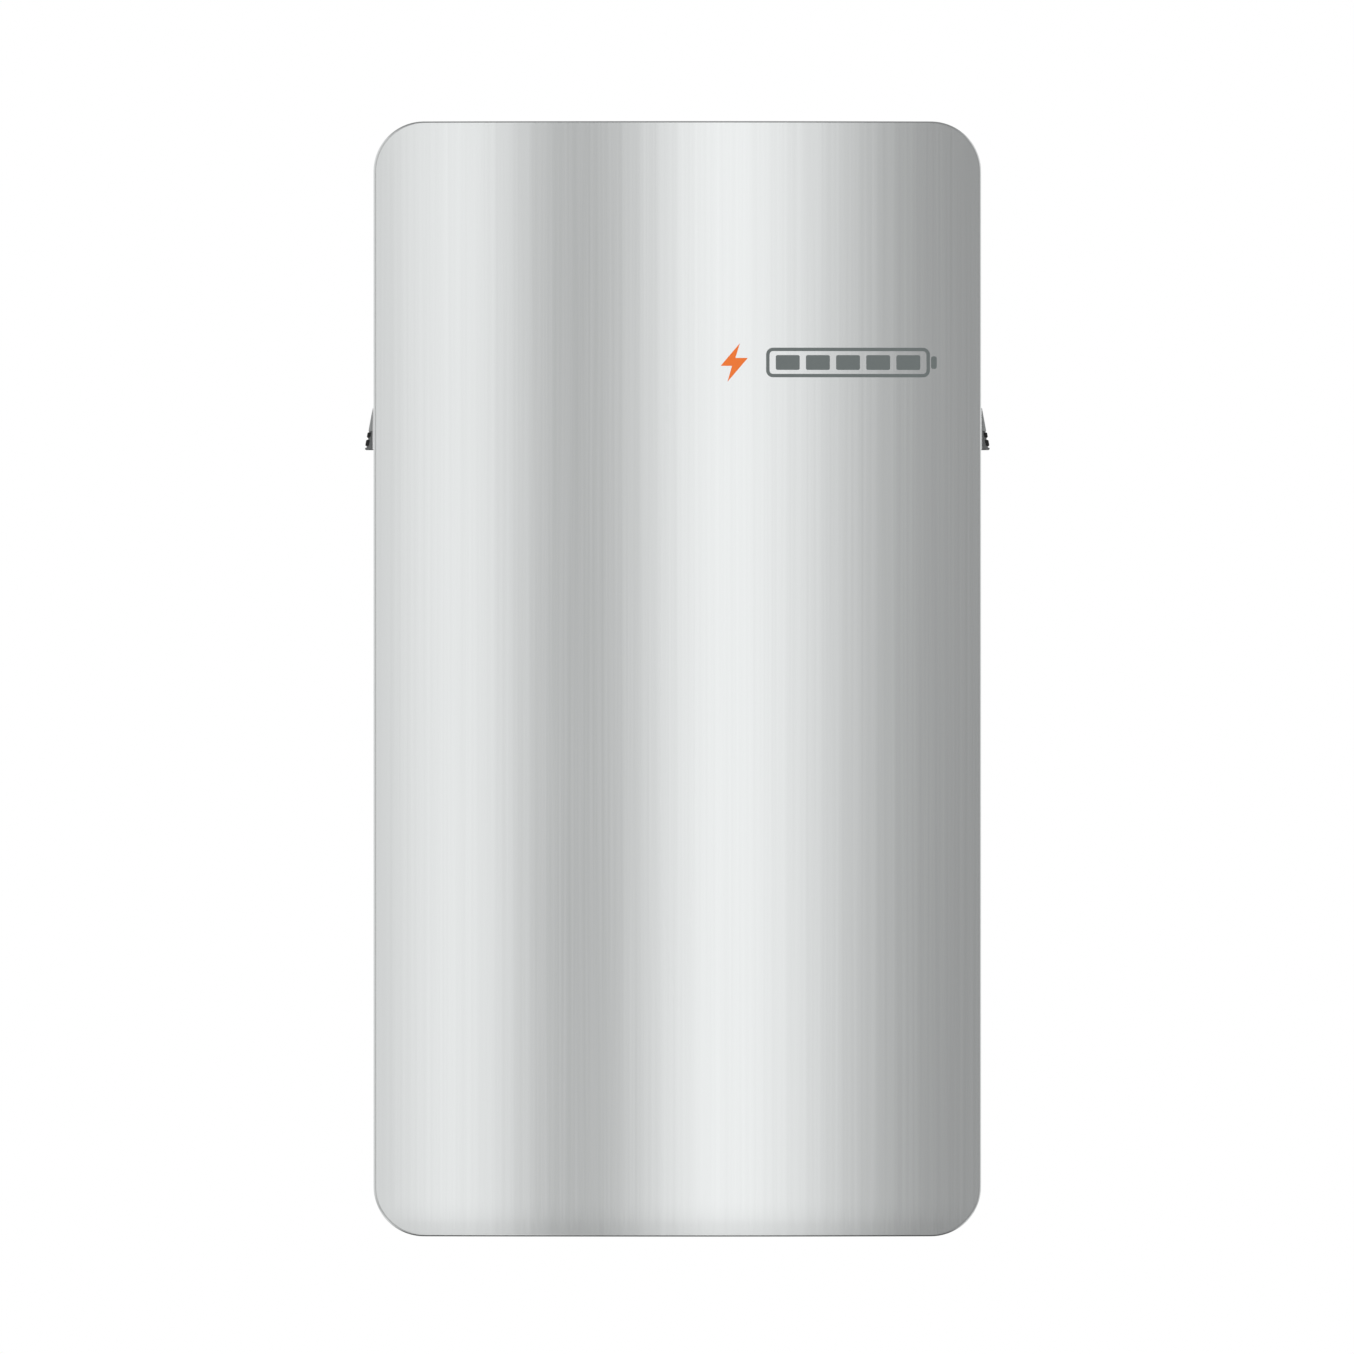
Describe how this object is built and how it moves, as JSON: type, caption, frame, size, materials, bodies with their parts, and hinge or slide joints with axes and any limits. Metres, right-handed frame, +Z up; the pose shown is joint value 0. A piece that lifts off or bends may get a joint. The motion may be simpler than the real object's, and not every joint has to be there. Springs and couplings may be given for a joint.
{
  "type": "wall battery",
  "caption": "Wall-hung battery with a bowed sheet cover over module inverters, a sealed housing of cells, side grab handles, a turning isolator and a steel bracket.",
  "frame": {"origin": "middle of the four wall bolts, on the wall face of the bracket", "axes": "+Z up, +Y into the wall, +X to the viewer's right; the front cover faces -Y"},
  "size_m": [0.55, 0.1879, 0.98],
  "materials": {
    "cover_metal": "brushed, clear satin coat",
    "cover_inner": "mill",
    "housing_paint": "fine powder coat",
    "lid_metal": "satin",
    "bracket_steel": "zinc grey",
    "plated_steel": "zinc plated",
    "fastener_steel": "plated",
    "seal_rubber": "matte",
    "pad_rubber": "matte",
    "dark_plastic": "matte",
    "clip_plastic": "satin",
    "inverter_plastic": "fine texture",
    "pocket_plastic": "fine texture",
    "trim_plastic": "satin",
    "handle_grey": "satin",
    "grip_black": "soft, ribbed",
    "knob_red": "satin",
    "lens_clear": "diffusing",
    "cell_can": "film wrapped",
    "spacer_plastic": "matte",
    "busbar_metal": "bare",
    "lead_metal": "sleeved",
    "circuit_board": "solder mask",
    "board_parts": "moulded",
    "dc_cable": "jacket",
    "ac_cable": "jacket",
    "terminal_plastic": "matte",
    "label_foil": "satin foil",
    "badge_print": "printed film"
  },
  "bodies": {
    "unit": {"wall_bracket": "bracket_steel", "housing": "housing_paint", "hanger_rail_upper": "plated_steel", "hanger_rail_lower": "plated_steel", "securing_screws": "fastener_steel", "housing_gasket": "seal_rubber", "lid": "lid_metal", "lid_screws": "fastener_steel", "wiring_cover": "lid_metal", "wiring_cover_gasket": "seal_rubber", "m4_screws": "fastener_steel", "gland_plate": "lid_metal", "top_entry_plug": "dark_plastic", "breather_vent": "dark_plastic", "cover_seal": "seal_rubber", "cover_clips": "clip_plastic", "inverter_1": "inverter_plastic", "inverter_2": "inverter_plastic", "inverter_3": "inverter_plastic", "inverter_4": "inverter_plastic", "inverter_5": "inverter_plastic", "inverter_6": "inverter_plastic", "inverter_screws": "fastener_steel", "dc_harness": "dc_cable", "ac_harness": "ac_cable", "cable_grommets": "seal_rubber", "harness_clips": "dark_plastic", "handle_pocket_left": "pocket_plastic", "handle_pocket_right": "pocket_plastic", "handle_plate_left": "trim_plastic", "handle_plate_right": "trim_plastic", "handle_cup_left": "handle_grey", "handle_cup_right": "handle_grey", "handle_grip_left": "grip_black", "handle_grip_right": "grip_black", "switch_bezel": "dark_plastic", "switch_body": "dark_plastic", "status_lens": "lens_clear", "cells_left": "cell_can", "cells_right": "cell_can", "cell_spacers": "spacer_plastic", "end_plates": "lid_metal", "stack_bands": "plated_steel", "busbars": "busbar_metal", "busbar_covers": "trim_plastic", "pack_pads": "pad_rubber", "bms_board": "circuit_board", "bms_parts": "board_parts", "main_fuse": "trim_plastic", "contactor": "dark_plastic", "dc_leads": "lead_metal", "partition_plate": "plated_steel", "terminal_block": "terminal_plastic", "ground_bar": "busbar_metal", "rating_plate": "label_foil"},
    "cover": {"front_cover": "cover_metal", "cover_frame": "cover_inner", "cover_studs": "fastener_steel", "badge": "badge_print"},
    "switch": {"switch_knob": "knob_red"}
  },
  "joints": [
    {"name": "cover_pull", "type": "slide", "parent": "unit", "child": "cover", "axis": [0, -1, 0], "range_m": [0, 0.12]},
    {"name": "isolator_turn", "type": "hinge", "parent": "unit", "child": "switch", "pos_m": [0.248, -0.072, 0.1], "axis": [1, 0, 0], "range_deg": [0, 90]}
  ]
}
